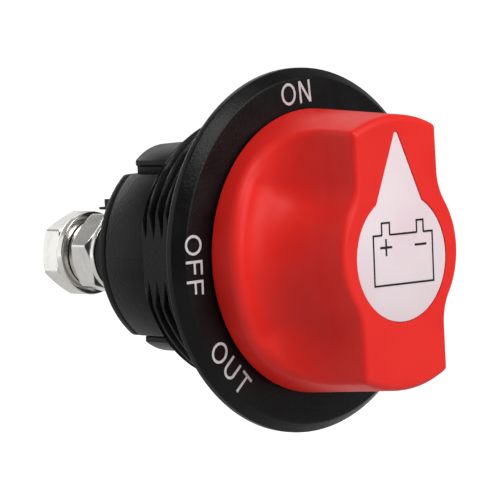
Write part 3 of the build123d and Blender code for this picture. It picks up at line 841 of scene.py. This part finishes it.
def block_outline(shoulder_z, top_z):
    """Raised block: flat top, rounded shoulders and a small step in its sides."""
    drop = top_z - shoulder_z
    run = BLOCK_HALF_W - BLOCK_TOP_HALF_W
    radius = (run**2 + drop**2) / (2 * drop)
    step_z = shoulder_z - BLOCK_STEP
    right = [
        (BLOCK_HALF_W - BLOCK_RECESS, BLOCK_FOOT_Z),
        (BLOCK_HALF_W - BLOCK_RECESS, step_z),
        (BLOCK_HALF_W, step_z + BLOCK_STEP_RISE),
        (BLOCK_HALF_W, shoulder_z),
    ]
    for turn in fan(math.asin(run / radius), 0, ARC_STEPS)[1:]:
        x, z = BLOCK_TOP_HALF_W + radius * math.sin(turn), top_z - radius * (1 - math.cos(turn))
        right.append((x, z))
    return right + [(-x, z) for x, z in reversed(right)]


def make_mould_line(side):
    """Fine raised line that the mould leaves along the side of the body."""
    x = side * (BODY_HALF_W - MOULD_LINE_INSET)
    across = (x - MOULD_LINE_REACH, x + MOULD_LINE_REACH)
    along = (BARREL_LEN, SEAM_Y - MOULD_LINE_END)
    line = block("line", across, along, (-MOULD_LINE_HALF_H, MOULD_LINE_HALF_H))
    return bevelled(line, MOULD_LINE_EDGE, segments=2)


def make_body():
    """Rear body with the blocks at 12 and 6 o'clock, hollow inside."""
    depths = (BARREL_LEN - SINK, SEAM_Y)
    body = bevelled(prism("body", body_outline(), *depths), BODY_EDGE, angle_deg=20)
    cavity = turned("cavity", [(CAVITY_R, CAVITY_Y), (CAVITY_R, SEAM_Y + CUT_PAST)])
    guide_x, guide_z = (-GUIDE_HALF_W, GUIDE_HALF_W), (-GUIDE_HALF_H, GUIDE_HALF_H)
    guide = block("guide", guide_x, (GUIDE_Y, SEAM_Y + CUT_PAST), guide_z)
    body = subtract(body, [tidy(cavity), guide])
    upper = prism("upper", block_outline(*UPPER_BLOCK), *depths)
    lower = prism("lower", [(x, -z) for x, z in block_outline(*LOWER_BLOCK)], *depths)
    blocks = [bevelled(piece, BLOCK_EDGE, angle_deg=25) for piece in (upper, lower)]
    return join([body, *blocks, make_mould_line(-1), make_mould_line(1)])


def make_housing():
    return join([make_bezel(), make_barrel(), make_body()])


# ---- rear cover and terminal hardware ----
def make_boss():
    """Tube round a stud, with a fillet at its foot."""
    bore_r = STUD_R + BOSS_BORE_GAP
    corners = [
        (BOSS_R + BOSS_FOOT, COVER_Y - SINK, 0),
        (BOSS_R + BOSS_FOOT, COVER_Y, 0),
        (BOSS_R, COVER_Y + BOSS_FILLET, BOSS_FILLET),
        (BOSS_R, BOSS_END_Y, BOSS_EDGE),
        (bore_r, BOSS_END_Y, BOSS_BORE_EDGE),
        (bore_r, COVER_Y - SINK, 0),
    ]
    return turned("boss", softened(corners), closed=True)


def make_cover():
    """Cover plate with a rounded back edge, two terminal bosses and a small hooked rib."""
    plate = prism("plate", body_outline(), SEAM_Y + COVER_GAP, COVER_Y)
    plate = bevelled(plate, COVER_EDGE, angle_deg=20)
    plug_x, plug_z = (-PLUG_HALF_W, PLUG_HALF_W), (-PLUG_HALF_H, PLUG_HALF_H)
    plug = block("plug", plug_x, (SEAM_Y - PLUG_DEPTH, SEAM_Y + SINK_DEEP), plug_z)
    foot_y = COVER_Y - SINK_DEEP
    rib = block("rib", HOOK_X, (foot_y, COVER_Y + HOOK_RIB), HOOK_Z)
    ledge = block("ledge", HOOK_X, (foot_y, COVER_Y + HOOK_LEDGE), (HOOK_Z[0], HOOK_LEDGE_Z))
    hook = [bevelled(piece, HOOK_EDGE, segments=2) for piece in (rib, ledge)]
    return join([plate, plug, mirrored_pair(make_boss), *hook])


def make_nut(y_front, thickness, turn):
    """Hexagon nut: soft corners, both faces chamfered, countersunk thread."""
    y_rear = y_front + thickness
    drop = (NUT_CORNER_R - NUT_FACE_R) * NUT_CHAMFER

    def radius(turns, y):
        depth = min(y - y_front, y_rear - y)
        local = (turns - math.radians(turn)) % (math.pi / 3) - math.pi / 6
        hexagon = NUT_AF / 2 / np.cos(local)
        corner = np.maximum(hexagon - (NUT_CORNER_R - NUT_CORNER_WEAR), 0)
        hexagon = hexagon - NUT_CORNER_PULL * corner**2 / NUT_CORNER_WEAR
        cone = NUT_FACE_R + depth / NUT_CHAMFER
        blend = np.maximum(NUT_CREASE - np.abs(hexagon - cone), 0) ** 2 / (4 * NUT_CREASE)
        return np.minimum(hexagon, cone) - blend

    chamfer = np.linspace(0, drop, NUT_CHAMFER_ROWS)
    side = np.linspace(drop, thickness - drop, NUT_SIDE_ROWS)[1:-1]
    rows = [y_front + row for row in (*chamfer, *side, *(thickness - chamfer[::-1]))]
    thread = [
        (NUT_SINK_R, y_rear),
        (NUT_BORE_R, y_rear - NUT_SINK_DEPTH),
        (NUT_BORE_R, y_front + NUT_SINK_DEPTH),
        (NUT_SINK_R, y_front),
    ]
    rings = shaped_rings(rows, radius, NUT_SEGMENTS) + plain_rings(thread, NUT_SEGMENTS)
    return ring_solid("nut", rings, closed=True)


def make_washer(y_front, thickness, outer_r):
    y_rear = y_front + thickness
    corners = [
        (WASHER_BORE_R, y_front, WASHER_BORE_EDGE),
        (outer_r, y_front, WASHER_EDGE),
        (outer_r, y_rear, WASHER_EDGE),
        (WASHER_BORE_R, y_rear, WASHER_BORE_EDGE),
    ]
    return turned("washer", softened(corners), 160, closed=True)


def make_spring_washer():
    """Split lock washer: one turn of square wire with staggered ends."""
    y_front, thickness, outer_r = SPRING_WASHER
    wire_t = thickness - SPRING_RISE
    wire = [(WASHER_BORE_R, 0), (outer_r, 0), (outer_r, wire_t), (WASHER_BORE_R, wire_t)]
    section = softened([(r, y, SPRING_EDGE) for r, y in wire], steps=3)
    rings = []
    for share in fan(0, 1, SPRING_STEPS):
        turn = math.radians(SPRING_START + SPRING_SWEEP * share)
        y = y_front + SPRING_RISE * share
        rings.append([(r * math.cos(turn), y + d, r * math.sin(turn)) for r, d in section])
    return ring_solid("spring_washer", rings)


def stud_radius(turns, y):
    """Helical thread with a pointed end."""
    depth = groove(y / STUD_PITCH + turns / (2 * math.pi), *STUD_THREAD)
    return np.minimum(STUD_R - STUD_THREAD_DEPTH * depth, STUD_TIP_R + STUD_END_Y - y)


def make_stud():
    """Stud with a head inside the body, a plain shank and a threaded end."""
    head_front, head_rear = STUD_HEAD_Y
    plain = [
        (STUD_HEAD_R, head_front),
        (STUD_HEAD_R, head_rear),
        (STUD_SHANK_R, head_rear),
        (STUD_SHANK_R, STUD_THREAD_Y),
    ]
    rows = np.arange(STUD_THREAD_Y + STUD_ROW, STUD_END_Y, STUD_ROW)
    rings = plain_rings(plain, STUD_SEGMENTS)
    rings += shaped_rings(rows, stud_radius, STUD_SEGMENTS)
    rings += plain_rings([(STUD_END_R, STUD_END_Y)], STUD_SEGMENTS)
    return ring_solid("stud", rings)


# ---- pieces ----
MOULDINGS = (
    (make_knob, "knob_moulding", "key", RED, "knob", "red_plastic", MOULDING_SHARP),
    (make_label, "knob_label_insert", "key", WHITE, "knob_label", "white_label", OTHER_SHARP),
    (make_housing, "housing_moulding", "base", BLACK, "front_housing", "black_plastic", MOULDING_SHARP),
    (make_cover, "rear_cover_moulding", "base", BLACK, "rear_cover", "black_plastic", MOULDING_SHARP),
)
HARDWARE = (
    (lambda: make_washer(*COLLAR), "collar_pair", "stud_collars", OTHER_SHARP),
    (lambda: make_nut(*JAM_NUT), "jam_nut_pair", "jam_nuts", NUT_SHARP),
    (make_spring_washer, "spring_washer_pair", "spring_washers", OTHER_SHARP),
    (lambda: make_washer(*FLAT_WASHER), "flat_washer_pair", "flat_washers", OTHER_SHARP),
    (lambda: make_nut(*TERMINAL_NUT), "terminal_nut_pair", "terminal_nuts", NUT_SHARP),
)

for make, *facts in MOULDINGS:
    finished(make(), *facts)
for make, name, node, sharp_deg in HARDWARE:
    finished(mirrored_pair(make), name, "base", NICKEL, node, "plated_hardware", sharp_deg)
for side, node in ((-1, "stud_left"), (1, "stud_right")):
    stud = shifted(make_stud(), side * STUD_X)
    finished(stud, node + "_threaded", "base", TINNED, node, "tinned_studs")


# ---- studio, in metres ----
CAM_DISTANCE = 0.70
CAM_AZIMUTH = -44.961
CAM_ELEVATION = 4.658
CAM_ROLL = 3.064
AIM_LEFT = 0.00912
FOCAL_WIDTHS = 7.5035  # focal length over the picture's width
SENSOR = 36.0
CAM_CLIP = (0.01, 50)
FLOOR_DROP = 0.03
FLOOR_HALF = 30.0
FLOOR_COLOUR = (0.2, 0.2, 0.2, 1)
FLOOR_GLOW = (0.15, 0.7)
FLOOR_REACH = 0.5
WORLD_GLOW = (0.03, 0.42)
WORLD_REACH = 1.0
WHITE_LIGHT = (1, 1, 1, 1)

# Name, place, width and height, and power. All point at the origin.
SOFTBOXES = (
    ("key", (0.3, -1.0, 0.5), (0.8, 0.8), 8.0),
    ("overhead", (-0.2, -0.55, 0.9), (0.6, 0.6), 5.8),
    ("back", (0.55, 0.8, 0.65), (0.5, 0.6), 0.6),
    ("rear", (-0.8, 0.8, 0.25), (0.7, 0.9), 1.5),
    ("terminals", (0.1, 1.1, 0.35), (0.6, 0.6), 3.0),
)


def camera():
    """Rolled camera that looks a little to the left of the origin."""
    az = math.radians(CAM_AZIMUTH)
    el = math.radians(CAM_ELEVATION)
    roll = math.radians(CAM_ROLL)
    back = Vector((math.sin(az) * math.cos(el), -math.cos(az) * math.cos(el), math.sin(el)))
    level = (-back).cross(Vector((0, 0, 1))).normalized()
    upright = level.cross(-back)
    right = level * math.cos(roll) - upright * math.sin(roll)
    up = upright * math.cos(roll) + level * math.sin(roll)
    place = back * CAM_DISTANCE
    ahead = (-right * AIM_LEFT - place).normalized()
    right = ahead.cross(up).normalized()
    up = right.cross(ahead)
    data = bpy.data.cameras.new("camera")
    data.sensor_width = SENSOR
    data.lens = FOCAL_WIDTHS * SENSOR
    data.clip_start, data.clip_end = CAM_CLIP
    eye = to_object("camera", data)
    eye.matrix_world = Matrix.Translation(place) @ Matrix((right, up, -ahead)).transposed().to_4x4()
    bpy.context.scene.camera = eye


def softbox(name, place, size, power):
    data = bpy.data.lights.new(name, "AREA")
    data.shape = "RECTANGLE"
    data.size, data.size_y = size
    data.energy = power
    lamp = to_object(name, data)
    lamp.location = place
    lamp.rotation_euler = (-Vector(place)).to_track_quat("-Z", "Y").to_euler()


def white_when_seen(tree, target, coordinate, reach, glow):
    """Strength of a backdrop: plain white where it is seen. As light on the object it is dimmer,
    and goes from the first value of glow in front of the object (-Y) to the second behind it."""
    split = tree.nodes.new("ShaderNodeSeparateXYZ")
    tree.links.new(tree.nodes.new("ShaderNodeTexCoord").outputs[coordinate], split.inputs[0])
    shade = map_range(tree, -reach, reach, *glow)
    tree.links.new(split.outputs["Y"], shade.inputs["Value"])
    strength = map_range(tree, 0, 1, 0, 1)
    seen = tree.nodes.new("ShaderNodeLightPath").outputs["Is Camera Ray"]
    tree.links.new(seen, strength.inputs["Value"])
    tree.links.new(shade.outputs["Result"], strength.inputs["To Min"])
    tree.links.new(strength.outputs["Result"], target)


def world():
    sky = bpy.data.worlds.new("studio")
    bpy.context.scene.world = sky
    sky.use_nodes = True
    background = sky.node_tree.nodes["Background"]
    background.inputs["Color"].default_value = WHITE_LIGHT
    strength = background.inputs["Strength"]
    white_when_seen(sky.node_tree, strength, "Generated", WORLD_REACH, WORLD_GLOW)


def floor():
    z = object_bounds()[0][2] - FLOOR_DROP
    corners = [(x * FLOOR_HALF, y * FLOOR_HALF, z) for x, y in ((-1, -1), (1, -1), (1, 1), (-1, 1))]
    mesh = bpy.data.meshes.new("floor")
    mesh.from_pydata(corners, [], [(0, 1, 2, 3)])
    piece = to_object("floor", mesh)
    material = bpy.data.materials.new("floor")
    material.use_nodes = True
    bsdf = material.node_tree.nodes["Principled BSDF"]
    bsdf.inputs["Base Color"].default_value = FLOOR_COLOUR
    bsdf.inputs["Roughness"].default_value = 1.0
    bsdf.inputs["Specular IOR Level"].default_value = 0.0
    bsdf.inputs["Emission Color"].default_value = WHITE_LIGHT
    strength = bsdf.inputs["Emission Strength"]
    white_when_seen(material.node_tree, strength, "Object", FLOOR_REACH, FLOOR_GLOW)
    mesh.materials.append(material)
    piece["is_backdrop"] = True


camera()
world()
floor()
for facts in SOFTBOXES:
    softbox(*facts)
bpy.context.scene.view_settings.view_transform = "Standard"
